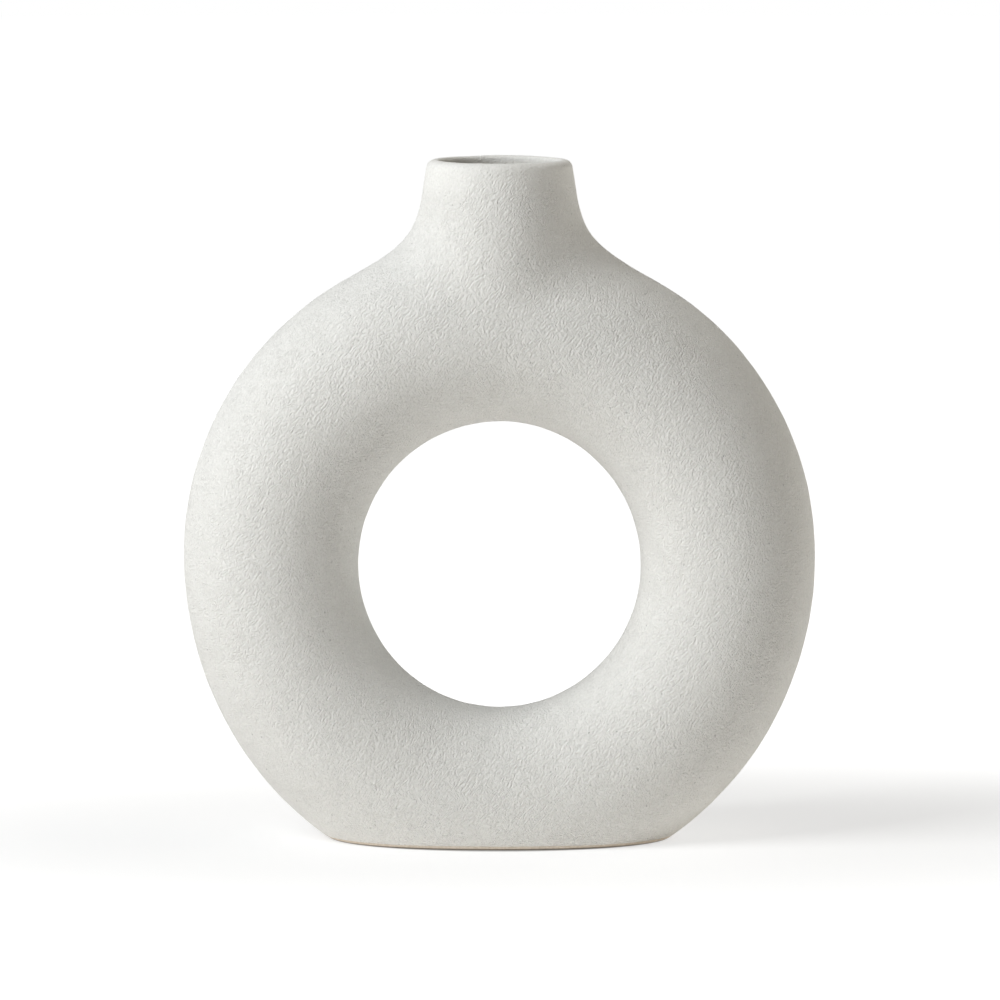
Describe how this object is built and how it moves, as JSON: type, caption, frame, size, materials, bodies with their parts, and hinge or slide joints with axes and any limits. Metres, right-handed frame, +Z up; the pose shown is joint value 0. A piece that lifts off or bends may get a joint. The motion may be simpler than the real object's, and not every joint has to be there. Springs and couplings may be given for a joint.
{
  "type": "donut vase",
  "caption": "Upright ring-shaped vase: a hollow tube bent into a ring round an open hole, with a short open neck on the crown and a flat oval foot.",
  "frame": {"origin": "centre of the foot on the standing plane", "axes": "+Z up through the neck, +X to the right across the ring, +Y to the back, so the front looks along -Y"},
  "size_m": [0.24, 0.065, 0.2589],
  "materials": {
    "sanded_slip": "matt, finely sanded and ridged",
    "bare_clay": "matt, unglazed",
    "inside_glaze": "satin glaze"
  },
  "bodies": {
    "root": {"ring_front_half": "bare_clay", "ring_back_half": "bare_clay", "neck_collar": "bare_clay", "foot_slab": "bare_clay", "slip_coat": "sanded_slip", "liner_glaze": "inside_glaze"}
  },
  "joints": []
}
